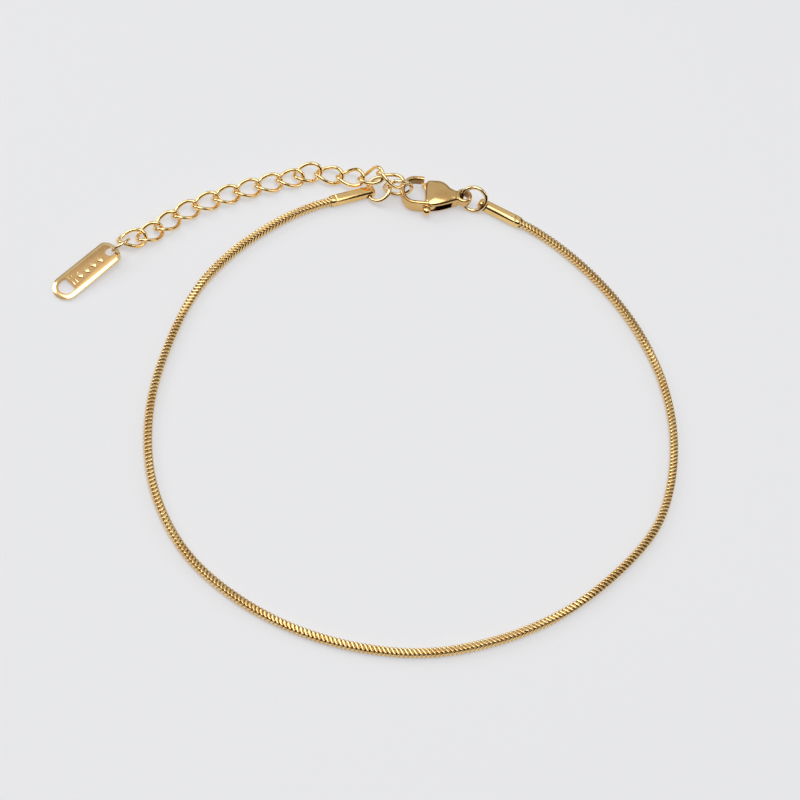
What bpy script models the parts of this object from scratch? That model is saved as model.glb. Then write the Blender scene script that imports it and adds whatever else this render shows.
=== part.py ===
"""A chain anklet lying closed on a flat surface: a square snake chain between two end caps, a lobster
clasp on jump rings, and an extender of curb links that ends in a small tag.

Metres, +Z up. The anklet lies on z = 0 round the origin, +X runs from the tag's side to the far side of
the loop and +Y from the loop's front to the clasp.
"""

import math

import bmesh
import bpy
from mathutils import Matrix, Vector

MM = 0.001
FLOOR_GAP = 0.02 * MM

# Square snake chain: plates of one pitch, ribbed, along a smooth route.
CHAIN_SIDE = 1.05 * MM
PLATE_PITCH = 0.54 * MM
RIB_DEPTH = 0.09 * MM
RIB_SLANT = 0.10 * MM
CHAIN_IN_CAP = 1.9 * MM
# How far the chain is twisted over, as (share of its length, degrees). Its outer side lifts first.
CHAIN_ROLL_DEG = (
    (0.0, 0), (0.02, 0), (0.07, -18), (0.12, -18), (0.17, 4), (0.24, 4), (0.30, -14), (0.35, -14),
    (0.41, 15), (0.46, 12), (0.50, 0), (0.56, 0), (0.62, 14), (0.68, 14), (0.74, 18), (0.82, 18),
    (0.90, -18), (0.95, -18), (0.985, 0), (1.0, 0),
)
CHAIN_ROUTE_MM = (
    (27.1, 26.0), (33.9, 19.4), (39.2, 10.8), (41.8, 0.5), (40.8, -10.3), (35.7, -19.2), (29.4, -26.0),
    (22.4, -30.7), (15.1, -33.7), (7.4, -34.8), (-0.5, -34.3), (-8.5, -32.0), (-16.4, -27.3),
    (-22.5, -19.4), (-25.6, -9.2), (-25.6, 1.6), (-23.3, 12.2), (-17.9, 21.2),
)

# End caps: square tubes, closed at the ring's end. A row holds the mouth's middle and the heading from
# the mouth to the ring's end.
CAP_SIDE = 1.5 * MM
CAP_LENGTH = 6.75 * MM
CAP_BORE = 1.26 * MM
CAP_BORE_DEPTH = 3.2 * MM
CAP_EDGE = 0.26 * MM
CAP_NOTCH = 0.75 * MM
CAPS = {
    "end_cap_left": {"mouth_mm": (-9.37, 28.82), "heading_deg": 30.5},
    "end_cap_right": {"mouth_mm": (17.33, 31.46), "heading_deg": 161.0},
}

# Jump rings: middle, the way the ring's normal leans from upright and how far, and outer diameter.
RING_WIRE = 0.56 * MM
RING_SEGMENTS = 16
RING_HOLE = 0.84 * MM
JUMP_RINGS = {
    "jump_ring_left": {
        "middle_mm": (-3.03, 32.025, 1.543), "lean_to_deg": 221.8, "lean_deg": 32.7, "outer_mm": 3.95},
    "jump_ring_hook": {
        "middle_mm": (-0.405, 32.43, 2.167), "lean_to_deg": 280.6, "lean_deg": 97.5, "outer_mm": 4.3},
    "jump_ring_clasp": {
        "middle_mm": (10.19, 33.33, 1.75), "lean_to_deg": 264.8, "lean_deg": 59.3, "outer_mm": 4.0},
}

# Extender: twisted curb links, the tag's first. A row holds a link's middle and its turns: the roll about
# its own length, the pitch (under 0 where its +X end is up) and the heading.
LINK_LENGTH = 4.3 * MM
LINK_WIDTH = 3.05 * MM
LINK_WIRE = 0.53 * MM
LINK_FULLNESS = 0.8
LINK_TWIST_DEG = 84.0
LINK_POINTS = 14
LINKS = (
    {"middle_mm": (-34.09, 16.57, 0.84), "turn_deg": (-1.9, 1.0, 24.9)},
    {"middle_mm": (-31.97, 18.02, 0.76), "turn_deg": (0, 0, 47)},
    {"middle_mm": (-30.11, 20.30, 0.80), "turn_deg": (1, 0, 50.3)},
    {"middle_mm": (-28.13, 22.71, 0.77), "turn_deg": (0, 0, 41)},
    {"middle_mm": (-25.75, 24.78, 0.79), "turn_deg": (-1, 0, 36.6)},
    {"middle_mm": (-23.34, 26.57, 0.76), "turn_deg": (0, 0, 34.4)},
    {"middle_mm": (-20.77, 28.32, 0.77), "turn_deg": (0, 0, 31.3)},
    {"middle_mm": (-18.09, 29.90, 0.80), "turn_deg": (2, 0, 29)},
    {"middle_mm": (-15.40, 31.45, 0.77), "turn_deg": (0, 0, 22)},
    {"middle_mm": (-13.16, 32.87, 0.88), "turn_deg": (12, -2.5, 28.6)},
    {"middle_mm": (-10.25, 33.35, 0.77), "turn_deg": (0, 0, 6)},
    {"middle_mm": (-7.195, 33.377, 1.219), "turn_deg": (4.7, -16.5, -5.4)},
    {"middle_mm": (-4.349, 33.371, 2.446), "turn_deg": (6.0, -35.1, -5.0)},
    {"middle_mm": (-1.699, 32.717, 3.567), "turn_deg": (-29.3, 8.9, -10.5)},
)

# Tag: a plate, round at one end and blunt at its ring's, with a hole that has one straight side and a
# small hole. Its ring passes under the blunt end, which lies that much higher.
TAG_LENGTH = 10.6 * MM
TAG_WIDTH = 3.7 * MM
TAG_THICK = 0.5 * MM
TAG_EDGE = 0.12 * MM
TAG_MIDDLE_MM = (-38.68, 10.13)
TAG_HEADING_DEG = 55.0
TAG_PITCH_DEG = 6.0
TAG_BIG_HOLE = 2.4 * MM
TAG_BIG_HOLE_FROM_END = 2.0 * MM
TAG_SMALL_HOLE = 1.36 * MM
TAG_SMALL_HOLE_FROM_END = 1.08 * MM
TAG_BLUNT_RADIUS = 2.3 * MM
TAG_RELIEF = 0.13 * MM
TAG_RING = {"middle_mm": (-35.16, 14.82, 1.5), "lean_to_deg": 144.3, "lean_deg": 62.0, "outer_mm": 3.13}
TAG_RING_WIRE = 0.42 * MM

# Lobster clasp, measured from its lever's pin: +x towards the eye, +y towards the hook's mouth.
CLASP_PIN_MM = (6.49, 32.92)
CLASP_HEADING_DEG = 7.0
CLASP_HEIGHT = 2.4 * MM
CHEEK = 0.68 * MM
CHEEK_ROUND = 0.42 * MM
EYE_MIDDLE = (2.28 * MM, 0.17 * MM)
EYE_OUTER = 2.35 * MM
EYE_THICK = 1.35 * MM
EYE_HEIGHT = 1.55 * MM
EYE_HOLE = 1.5 * MM
PIN = 0.7 * MM
PIN_HOLE = 0.95 * MM
LEVER_THICK = 0.84 * MM
KNOB = 1.25 * MM
HOOK_REACH_MM = (1.85, 2.1)


def polar(degrees):
    angle = math.radians(degrees)
    return Vector((math.cos(angle), math.sin(angle)))


def metal(name, colour, roughness):
    made = bpy.data.materials.new(name)
    made.use_nodes = True
    shader = made.node_tree.nodes["Principled BSDF"]
    shader.inputs["Base Color"].default_value = (*colour, 1)
    shader.inputs["Roughness"].default_value = roughness
    shader.inputs["Metallic"].default_value = 1
    return made


def chain_gold():
    return metal("chain_gold", (0.78, 0.53, 0.22), 0.24)


def cap_gold():
    return metal("cap_gold", (0.80, 0.56, 0.25), 0.16)


def ring_gold():
    return metal("ring_gold", (0.86, 0.66, 0.34), 0.14)


def clasp_gold():
    return metal("clasp_gold", (0.72, 0.49, 0.20), 0.26)


def link_gold():
    return metal("link_gold", (0.88, 0.64, 0.28), 0.15)


def tag_gold():
    return metal("tag_gold", (0.70, 0.48, 0.24), 0.22)


def new_collection(name):
    made = bpy.data.collections.new(name)
    bpy.context.scene.collection.children.link(made)
    return made


def put(name, data, collection, finish=None):
    """The object that shows this mesh or curve."""
    made = bpy.data.objects.new(name, data)
    collection.objects.link(made)
    if finish:
        data.materials.append(finish)
    return made


def cutter(name, data, holder):
    made = put(name, data, holder)
    made.hide_render = True
    made.display_type = "WIRE"
    return made


def boolean(piece, other, operation):
    made = piece.modifiers.new(other.name, "BOOLEAN")
    made.object = other
    made.operation = operation


def mesh_from(shape, name, crease_deg=35):
    mesh = bpy.data.meshes.new(name)
    shape.to_mesh(mesh)
    shape.free()
    mesh.shade_smooth()
    mesh.set_sharp_from_angle(angle=math.radians(crease_deg))
    return mesh


def block(name, size, middle=(0, 0, 0)):
    shape = bmesh.new()
    bmesh.ops.create_cube(shape, size=1)
    bmesh.ops.scale(shape, vec=size, verts=shape.verts)
    bmesh.ops.translate(shape, vec=middle, verts=shape.verts)
    return mesh_from(shape, name)


def rod(name, diameter, length, segments=16):
    """A cylinder along Z with its middle at the origin."""
    shape = bmesh.new()
    bmesh.ops.create_cone(shape, cap_ends=True, segments=segments, radius1=diameter / 2,
                          radius2=diameter / 2, depth=length)
    return mesh_from(shape, name)


def ball(name, diameter, squash):
    shape = bmesh.new()
    bmesh.ops.create_uvsphere(shape, u_segments=14, v_segments=8, radius=diameter / 2)
    bmesh.ops.scale(shape, vec=squash, verts=shape.verts)
    return mesh_from(shape, name)


def plate(name, outlines, low, high, edge, edge_steps=2):
    """Closed outlines, the later ones holes in the first, as a flat solid with rounded edges."""
    curve = bpy.data.curves.new(name, "CURVE")
    curve.dimensions = "2D"
    curve.fill_mode = "BOTH"
    curve.extrude = (high - low) / 2 - edge
    curve.bevel_depth = edge
    curve.bevel_resolution = edge_steps
    curve.offset = -edge
    for outline in outlines:
        spline = curve.splines.new("POLY")
        spline.points.add(len(outline) - 1)
        spline.use_cyclic_u = True
        for point, place in zip(spline.points, outline):
            point.co = (*place, 0, 1)
    guide = bpy.data.objects.new(name, curve)
    bpy.context.scene.collection.objects.link(guide)
    evaluated = guide.evaluated_get(bpy.context.evaluated_depsgraph_get())
    shape = bmesh.new()
    shape.from_mesh(bpy.data.meshes.new_from_object(evaluated))
    bpy.data.objects.remove(guide)
    bmesh.ops.remove_doubles(shape, verts=shape.verts, dist=0.001 * MM)
    bmesh.ops.translate(shape, vec=(0, 0, (low + high) / 2), verts=shape.verts)
    bmesh.ops.recalc_face_normals(shape, faces=shape.faces)
    return mesh_from(shape, name)


def loft(name, sections):
    """A solid through closed sections of equally many points, with flat ends."""
    shape = bmesh.new()
    loops = [[shape.verts.new(point) for point in section] for section in sections]
    for one, other in zip(loops, loops[1:]):
        for i in range(len(one)):
            shape.faces.new((one[i - 1], one[i], other[i], other[i - 1]))
    shape.faces.new(reversed(loops[0]))
    shape.faces.new(loops[-1])
    bmesh.ops.recalc_face_normals(shape, faces=shape.faces)
    return mesh_from(shape, name)


def arc(middle, radius, start_deg, end_deg, steps):
    """Points on a round arc, both ends among them."""
    turns = [start_deg + (end_deg - start_deg) * i / steps for i in range(steps + 1)]
    return [tuple(Vector(middle) + radius * polar(turn)) for turn in turns]


def smooth_route(points, steps=12):
    """A smooth curve through the points. A point's own direction leans to its nearer neighbour's."""
    points = [Vector(point) for point in points]
    spans = [b - a for a, b in zip(points, points[1:])]
    leans = [spans[0].normalized()]
    for before, after in zip(spans, spans[1:]):
        leans.append((before.normalized() * after.length + after.normalized() * before.length)
                     / (before.length + after.length))
    leans.append(spans[-1].normalized())
    route = []
    for a, b, span, lean_a, lean_b in zip(points, points[1:], spans, leans, leans[1:]):
        for i in range(steps):
            t = i / steps
            pull = lean_a * (t * (1 - t) ** 2) - lean_b * (t * t * (1 - t))
            route.append(a.lerp(b, t * t * (3 - 2 * t)) + span.length * pull)
    return [*route, points[-1]]


def even_stations(route, pitch):
    """(place, heading) at equal steps along a route, the step fitted so that the last ends on its end."""
    lengths = [0.0]
    for a, b in zip(route, route[1:]):
        lengths.append(lengths[-1] + (b - a).length)
    count = round(lengths[-1] / pitch)
    stations = []
    piece = 0
    for i in range(count + 1):
        along = lengths[-1] * i / count
        while piece < len(route) - 2 and lengths[piece + 1] < along:
            piece += 1
        run = lengths[piece + 1] - lengths[piece]
        share = (along - lengths[piece]) / run
        place = route[piece].lerp(route[piece + 1], share)
        stations.append((place, (route[piece + 1] - route[piece]).normalized()))
    return stations


def cap_frame(cap):
    """The cap's place, with +X from its mouth to its ring's end and z = 0 on its underside."""
    x, y = cap["mouth_mm"]
    place = Matrix.Translation((x * MM, y * MM, FLOOR_GAP))
    return place @ Matrix.Rotation(math.radians(cap["heading_deg"]), 4, "Z")


def chain_route():
    """From inside the right cap to inside the left one."""
    middle = CAP_SIDE / 2
    right = cap_frame(CAPS["end_cap_right"])
    left = cap_frame(CAPS["end_cap_left"])
    start = [(right @ Vector((along, 0, middle))).to_2d() for along in (CHAIN_IN_CAP, 0, -1.5 * MM)]
    end = [(left @ Vector((along, 0, middle))).to_2d() for along in (-1.5 * MM, 0, CHAIN_IN_CAP)]
    return smooth_route([*start, *(MM * Vector(point) for point in CHAIN_ROUTE_MM), *end])


def chain_roll(share):
    """How far the chain is turned about its own length, at this share of it."""
    for (start, roll), (end, next_roll) in zip(CHAIN_ROLL_DEG, CHAIN_ROLL_DEG[1:]):
        if share <= end:
            t = (share - start) / (end - start)
            return math.radians(roll + (next_roll - roll) * t * t * (3 - 2 * t))
    return 0.0


def chain_height(along, length, roll):
    """The chain's middle rises into the caps' bores and lies on the floor between them."""
    lying = CHAIN_SIDE / 2 * (math.cos(roll) + abs(math.sin(roll))) + FLOOR_GAP
    in_cap = CAP_SIDE / 2 + FLOOR_GAP
    near_end = min(along, length - along)
    share = min(max((near_end - CHAIN_IN_CAP) / (6 * MM), 0), 1)
    ease = share * share * (3 - 2 * share)
    return in_cap + (lying - in_cap) * ease


def make_snake_chain(collection):
    """Two sections a plate, a ridge and a valley. Opposite corners run ahead and behind, which slants
    the ribs."""
    half = CHAIN_SIDE / 2
    corners = ((half, half, 1), (-half, half, -1), (-half, -half, 1), (half, -half, -1))
    stations = even_stations(chain_route(), PLATE_PITCH / 2)
    length = PLATE_PITCH / 2 * (len(stations) - 1)
    sections = []
    for i, (place, heading) in enumerate(stations):
        sink = 0 if i % 2 else RIB_DEPTH
        side = Vector((-heading.y, heading.x))
        roll = chain_roll(i / (len(stations) - 1))
        height = chain_height(i * PLATE_PITCH / 2, length, roll)
        section = []
        for corner_side, corner_up, ahead in corners:
            across, up = Matrix.Rotation(roll, 2) @ Vector((corner_side, corner_up)) * (1 - sink / half)
            spot = place + side * across + heading * ahead * RIB_SLANT
            section.append((*spot, height + up))
        sections.append(section)
    return put("snake_chain", loft("snake_chain", sections), collection, chain_gold())


def ring_frame(ring):
    """The ring's place, its normal along Z before it leans."""
    lean_axis = Matrix.Rotation(math.radians(ring["lean_to_deg"]), 4, "Z")
    lean = Matrix.Rotation(math.radians(ring["lean_deg"]), 4, "Y")
    return Matrix.Translation(MM * Vector(ring["middle_mm"])) @ lean_axis @ lean


def ring_mesh(name, ring, wire, thickness, sides):
    """A ring as thick as asked, along the middle of this ring's wire."""
    bpy.ops.mesh.primitive_torus_add(
        major_segments=RING_SEGMENTS, minor_segments=sides,
        major_radius=(ring["outer_mm"] * MM - wire) / 2, minor_radius=thickness / 2)
    helper = bpy.context.object
    mesh = helper.data
    mesh.name = name
    mesh.shade_smooth()
    bpy.data.objects.remove(helper)
    return mesh


def make_ring(name, ring, wire, collection, finish):
    made = put(name, ring_mesh(name, ring, wire, wire, 6), collection, finish)
    made.matrix_world = ring_frame(ring)
    return made


def ring_passage(name, ring, cutters):
    """The hole that a ring leaves free, wider than its wire and with the same bend."""
    made = cutter(name, ring_mesh(name, ring, RING_WIRE, RING_HOLE, 8), cutters)
    made.matrix_world = ring_frame(ring)
    return made


def make_cap(name, ring, collection, cutters):
    """A square tube, bored for the chain, notched at its mouth and drilled for its ring."""
    frame = cap_frame(CAPS[name])
    middle = Vector((CAP_LENGTH / 2, 0, CAP_SIDE / 2))
    made = put(name, block(name, (CAP_LENGTH, CAP_SIDE, CAP_SIDE), middle), collection, cap_gold())
    made.matrix_world = frame
    edges = made.modifiers.new("edges", "BEVEL")
    edges.width = CAP_EDGE
    edges.segments = 2
    bore = cutter(name + "_bore", block("bore", (2 * CAP_BORE_DEPTH, CAP_BORE, CAP_BORE)), cutters)
    bore.matrix_world = frame @ Matrix.Translation((0, 0, CAP_SIDE / 2))
    boolean(made, bore, "DIFFERENCE")
    notch = cutter(name + "_notch", rod("notch", CAP_NOTCH, CAP_SIDE), cutters)
    notch.matrix_world = frame @ Matrix.Translation((0, 0, CAP_SIDE))
    boolean(made, notch, "DIFFERENCE")
    boolean(made, ring_passage(name + "_ring_hole", ring, cutters), "DIFFERENCE")
    return made


def curb_points():
    """A full oval twisted about its length, so that its two ends cross its neighbours."""
    half_length = (LINK_LENGTH - LINK_WIRE) / 2
    half_width = (LINK_WIDTH - LINK_WIRE) / 2
    points = []
    for i in range(LINK_POINTS):
        turn = polar(360 * i / LINK_POINTS)
        twist = polar(LINK_TWIST_DEG / 2 * turn.x)
        across = half_width * math.copysign(abs(turn.y) ** LINK_FULLNESS, turn.y)
        points.append((half_length * turn.x, across * twist.x, across * twist.y))
    return points


def make_extender_links(collection):
    finish = link_gold()
    for i, row in enumerate(LINKS):
        curve = bpy.data.curves.new("extender_link", "CURVE")
        curve.dimensions = "3D"
        curve.bevel_depth = LINK_WIRE / 2
        curve.bevel_resolution = 1
        spline = curve.splines.new("POLY")
        spline.points.add(LINK_POINTS - 1)
        spline.use_cyclic_u = True
        for point, place in zip(spline.points, curb_points()):
            point.co = (*place, 1)
        made = put(f"extender_link_{i + 1:02d}", curve, collection, finish)
        made.location = MM * Vector(row["middle_mm"])
        made.rotation_euler = [math.radians(turn) for turn in row["turn_deg"]]


def tag_outlines():
    """The plate's outline and its two holes, +x towards the tag's ring."""
    half = TAG_LENGTH / 2
    side = TAG_WIDTH / 2
    blunt = arc((half - TAG_BLUNT_RADIUS, 0), TAG_BLUNT_RADIUS, -48, 48, 6)
    round_end = arc((side - half, 0), side, 90, 270, 10)
    outline = [(half - 1.1 * MM, -side), *blunt, (half - 1.1 * MM, side), *round_end]
    big_hole = arc((TAG_BIG_HOLE_FROM_END - half, 0), TAG_BIG_HOLE / 2, 60, 300, 12)
    small_hole = arc((half - TAG_SMALL_HOLE_FROM_END, 0), TAG_SMALL_HOLE / 2, 0, 330, 11)
    return [outline, big_hole, small_hole]


def lozenge(x, half_length, half_width):
    return [(x - half_length, 0), (x, -half_width), (x + half_length, 0), (x, half_width)]


def tag_frame():
    """The tag's place, its underside at z = 0 and its round end on the floor."""
    pitch = math.radians(TAG_PITCH_DEG)
    x, y = TAG_MIDDLE_MM
    place = Matrix.Translation((x * MM, y * MM, FLOOR_GAP + TAG_LENGTH / 2 * math.sin(pitch)))
    return place @ Matrix.Rotation(math.radians(TAG_HEADING_DEG), 4, "Z") @ Matrix.Rotation(-pitch, 4, "Y")


def make_tag(collection, cutters):
    """A flat plate with two raised bars beside the big hole and a row of raised lozenges."""
    frame = tag_frame()
    made = put("tag", plate("tag", tag_outlines(), 0, TAG_THICK, TAG_EDGE), collection, tag_gold())
    made.matrix_world = frame
    low = TAG_THICK / 2
    high = TAG_THICK + TAG_RELIEF
    for i in range(2):
        size = (0.2 * MM, 1.5 * MM, high - low)
        bar = block("tag_bar", size, ((0.5 * i - 2.4) * MM, 0, (low + high) / 2))
        raised = cutter(f"tag_bar_{i + 1}", bar, cutters)
        raised.matrix_world = frame
        boolean(made, raised, "UNION")
    for i in range(4):
        shape = lozenge((1.15 * i - 1.0) * MM, 0.42 * MM, 0.62 * MM)
        raised_shape = plate("tag_lozenge", [shape], low, high, 0.03 * MM, 0)
        raised = cutter(f"tag_lozenge_{i + 1}", raised_shape, cutters)
        raised.matrix_world = frame
        boolean(made, raised, "UNION")
    return made


def clasp_frame():
    x, y = CLASP_PIN_MM
    place = Matrix.Translation((x * MM, y * MM, FLOOR_GAP))
    return place @ Matrix.Rotation(math.radians(CLASP_HEADING_DEG), 4, "Z")


def clasp_point(x_mm, y_mm):
    return (x_mm * MM, y_mm * MM)


def shell_outline():
    """The two cheeks' outline: a rounded wedge that narrows to the eye."""
    return [
        *arc(clasp_point(-2.35, 1.75), 0.65 * MM, 180, 110, 4),
        *arc(clasp_point(-1.45, 0.45), 1.98 * MM, 98, 30, 7),
        clasp_point(1.15, 0.95), clasp_point(1.75, 0.85), clasp_point(1.75, -0.6),
        clasp_point(1.1, -0.8), clasp_point(-0.1, -1.4), clasp_point(-1.3, -1.85),
        *arc(clasp_point(-2.25, -1.2), 0.8 * MM, 265, 190, 4),
    ]


def hook_sections():
    """Sections of the hook, from its root beside the cheeks round to its square tip. A slide carries a
    section straight on, past the round part."""
    stations = (
        {"turn_deg": 270, "slide_mm": 1.80, "low_mm": 0.10, "high_mm": 2.25},
        {"turn_deg": 270, "slide_mm": 0.60, "low_mm": 0.03, "high_mm": 2.22},
        {"turn_deg": 258, "slide_mm": 0.00, "low_mm": 0.05, "high_mm": 2.18},
        {"turn_deg": 238, "slide_mm": 0.00, "low_mm": 0.16, "high_mm": 2.12},
        {"turn_deg": 216, "slide_mm": 0.00, "low_mm": 0.52, "high_mm": 2.06},
        {"turn_deg": 196, "slide_mm": 0.00, "low_mm": 0.95, "high_mm": 2.04},
        {"turn_deg": 176, "slide_mm": 0.00, "low_mm": 1.00, "high_mm": 2.04},
        {"turn_deg": 156, "slide_mm": 0.00, "low_mm": 0.95, "high_mm": 2.06},
        {"turn_deg": 134, "slide_mm": 0.00, "low_mm": 0.76, "high_mm": 2.08},
        {"turn_deg": 112, "slide_mm": 0.00, "low_mm": 0.72, "high_mm": 2.10},
        {"turn_deg": 90, "slide_mm": 0.10, "low_mm": 0.70, "high_mm": 2.10},
        {"turn_deg": 90, "slide_mm": 1.10, "low_mm": 0.70, "high_mm": 2.10},
    )
    middle = Vector(clasp_point(-4.4, 0.45))
    half_wide = 0.33 * MM
    edge = 0.16 * MM
    sections = []
    for row in stations:
        turn = polar(row["turn_deg"])
        spot = middle + MM * Vector((HOOK_REACH_MM[0] * turn.x + row["slide_mm"], HOOK_REACH_MM[1] * turn.y))
        out = Vector((turn.x / HOOK_REACH_MM[0], turn.y / HOOK_REACH_MM[1])).normalized()
        low = row["low_mm"] * MM
        high = row["high_mm"] * MM
        across = (
            (half_wide, low + edge), (half_wide, high - edge), (half_wide - edge, high),
            (edge - half_wide, high), (-half_wide, high - edge), (-half_wide, low + edge),
            (edge - half_wide, low), (half_wide - edge, low),
        )
        sections.append([(*(spot + out * reach), height) for reach, height in across])
    return sections


def slot_outline():
    """The room between the cheeks, open to the hook's side and to the knob's."""
    return [clasp_point(*spot) for spot in (
        (0.95, 0.0), (0.75, 0.7), (0.2, 1.15), (-1.2, 1.75), (-2.0, 3.2), (-3.28, 3.2), (-3.28, -3.2),
        (0.2, -3.2), (0.75, -0.7))]


def make_clasp_body(ring, collection, cutters):
    """Two cheeks joined at the eye, the hook sprung from their root, and the lever's pin."""
    frame = clasp_frame()
    shell = plate("clasp_body", [shell_outline()], 0, CLASP_HEIGHT, CHEEK_ROUND)
    made = put("clasp_body", shell, collection, clasp_gold())
    made.matrix_world = frame

    slot_shape = plate("clasp_slot", [slot_outline()], CHEEK, CLASP_HEIGHT - CHEEK, 0.01 * MM, 0)
    slot = cutter("clasp_slot", slot_shape, cutters)
    eye = cutter("clasp_eye", rod("clasp_eye", EYE_OUTER, EYE_THICK, 20), cutters)
    eye_edges = eye.modifiers.new("edges", "BEVEL")
    eye_edges.width = 0.3 * MM
    eye_edges.segments = 2
    eye_edges.limit_method = "ANGLE"
    eye_edges.angle_limit = math.radians(60)
    eye_hole = cutter("clasp_eye_hole", rod("clasp_eye_hole", EYE_HOLE, 2 * CLASP_HEIGHT, 16), cutters)
    hook = cutter("clasp_hook", loft("clasp_hook", hook_sections()), cutters)
    pin = cutter("clasp_pin", rod("clasp_pin", PIN, CLASP_HEIGHT - CHEEK, 12), cutters)
    for piece, height in ((eye, EYE_HEIGHT), (eye_hole, CLASP_HEIGHT / 2)):
        piece.matrix_world = frame @ Matrix.Translation((*EYE_MIDDLE, height))
    pin.matrix_world = frame @ Matrix.Translation((0, 0, CLASP_HEIGHT / 2))
    slot.matrix_world = frame
    hook.matrix_world = frame

    boolean(made, eye, "UNION")
    boolean(made, hook, "UNION")
    boolean(made, slot, "DIFFERENCE")
    boolean(made, pin, "UNION")
    boolean(made, eye_hole, "DIFFERENCE")
    boolean(made, ring_passage("clasp_eye_passage", ring, cutters), "DIFFERENCE")
    return made


def lever_outline():
    """The lever in plan: a hub on the pin, the gate that closes the mouth, and the arm of the knob."""
    return [
        *arc((0, 0), 0.76 * MM, -40, 80, 6),
        clasp_point(-1.5, 1.1), clasp_point(-2.35, 1.75), clasp_point(-2.9, 2.08), clasp_point(-3.52, 2.08),
        clasp_point(-3.58, 1.72), clasp_point(-3.12, 1.3), clasp_point(-3.05, 0.2), clasp_point(-3.02, -0.8),
        clasp_point(-3.12, -1.7), clasp_point(-2.9, -2.1), clasp_point(-2.3, -2.0), clasp_point(-1.6, -1.78),
        clasp_point(-0.85, -1.1), clasp_point(-0.3, -0.74),
    ]


def make_clasp_lever(collection, cutters):
    """The sprung lever, its origin on its pin's axis."""
    middle = CLASP_HEIGHT / 2
    frame = clasp_frame() @ Matrix.Translation((0, 0, middle))
    arm = plate("clasp_lever", [lever_outline()], -LEVER_THICK / 2, LEVER_THICK / 2, 0.08 * MM, 0)
    made = put("clasp_lever", arm, collection, clasp_gold())
    made.matrix_world = frame
    knob = cutter("lever_knob", ball("lever_knob", KNOB, (1, 1, 0.95)), cutters)
    knob.matrix_world = frame @ Matrix.Translation((*clasp_point(-2.75, -2.42), 0))
    hole = cutter("lever_hole", rod("lever_hole", PIN_HOLE, 4 * LEVER_THICK, 14), cutters)
    hole.matrix_world = frame
    boolean(made, knob, "UNION")
    boolean(made, hole, "DIFFERENCE")
    return made


for leftover in list(bpy.data.objects):
    bpy.data.objects.remove(leftover)

anklet = new_collection("chain_anklet")
tools = new_collection("cutters")
gold = ring_gold()

make_snake_chain(anklet)
make_cap("end_cap_left", JUMP_RINGS["jump_ring_left"], anklet, tools)
make_cap("end_cap_right", JUMP_RINGS["jump_ring_clasp"], anklet, tools)
for ring_name, ring_row in JUMP_RINGS.items():
    make_ring(ring_name, ring_row, RING_WIRE, anklet, gold)
make_clasp_body(JUMP_RINGS["jump_ring_clasp"], anklet, tools)
make_clasp_lever(anklet, tools)
make_extender_links(anklet)
make_ring("tag_ring", TAG_RING, TAG_RING_WIRE, anklet, gold)
make_tag(anklet, tools)
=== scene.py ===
"""The chain anklet as it is photographed: gold-plated steel, laid closed on a pale table."""

import math

import bmesh
import bpy
from mathutils import Matrix, Vector


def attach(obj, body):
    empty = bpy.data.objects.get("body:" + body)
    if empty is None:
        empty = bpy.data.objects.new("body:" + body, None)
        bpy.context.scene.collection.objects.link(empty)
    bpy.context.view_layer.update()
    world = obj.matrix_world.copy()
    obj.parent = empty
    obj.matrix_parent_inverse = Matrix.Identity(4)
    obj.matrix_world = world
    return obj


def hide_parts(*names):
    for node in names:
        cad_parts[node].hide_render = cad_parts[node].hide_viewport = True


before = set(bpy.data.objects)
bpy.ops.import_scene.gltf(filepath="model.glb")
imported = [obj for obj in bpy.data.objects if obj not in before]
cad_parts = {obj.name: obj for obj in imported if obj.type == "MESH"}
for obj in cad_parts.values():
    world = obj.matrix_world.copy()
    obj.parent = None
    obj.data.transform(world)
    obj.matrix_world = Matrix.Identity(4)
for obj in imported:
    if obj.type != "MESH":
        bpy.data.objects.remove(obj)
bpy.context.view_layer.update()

# Square snake chain: some 350 small folded plates of gold-plated steel, hooked into each other so closely
# that they read as slanted ribs. The ribs of two neighbouring faces slant opposite ways and meet in a
# chevron on the corner between them.
MM = 0.001
FLOOR_GAP = 0.02 * MM
CHAIN_SIDE = 1.05 * MM
PLATE_PITCH = 0.54 * MM
CHAIN_IN_CAP = 1.9 * MM
CHAIN_ROLL_DEG = (
    (0.0, 0), (0.02, 0), (0.07, -18), (0.12, -18), (0.17, 4), (0.24, 4), (0.30, -14), (0.35, -14),
    (0.41, 15), (0.46, 12), (0.50, 0), (0.56, 0), (0.62, 14), (0.68, 14), (0.74, 18), (0.82, 18),
    (0.90, -18), (0.95, -18), (0.985, 0), (1.0, 0),
)
CHAIN_ROUTE_MM = (
    (27.1, 26.0), (33.9, 19.4), (39.2, 10.8), (41.8, 0.5), (40.8, -10.3), (35.7, -19.2), (29.4, -26.0),
    (22.4, -30.7), (15.1, -33.7), (7.4, -34.8), (-0.5, -34.3), (-8.5, -32.0), (-16.4, -27.3),
    (-22.5, -19.4), (-25.6, -9.2), (-25.6, 1.6), (-23.3, 12.2), (-17.9, 21.2),
)
CAP_SIDE = 1.5 * MM
CAP_MOUTHS = {
    "end_cap_left": {"mouth_mm": (-9.37, 28.82), "heading_deg": 30.5},
    "end_cap_right": {"mouth_mm": (17.33, 31.46), "heading_deg": 161.0},
}
PLATE_SLANT = 0.25 * MM
CORNER_NOTCH = 1.5
GROOVE_DARK_FROM_MM = 0.20
PLATE_FACE_STEPS = 7
PLATE_PROFILE = ((-0.5, 0.17), (-0.36, 0.06), (-0.2, 0.015), (0.0, 0.0), (0.2, 0.02), (0.37, 0.07))
CORNER_ROUND = 0.22
GOLD = (1.0, 0.71, 0.32)
DEEP_GOLD = (0.93, 0.59, 0.23)
# Painted shade: the dark brown that crevices and shaded recesses are painted towards.
CREVICE_SHADE = (0.10, 0.04, 0.01)
# Painted shade between the plates: the grooves are painted this brown, the deeper the darker.
GROOVE_SHADE = (0.22, 0.11, 0.035)


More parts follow.
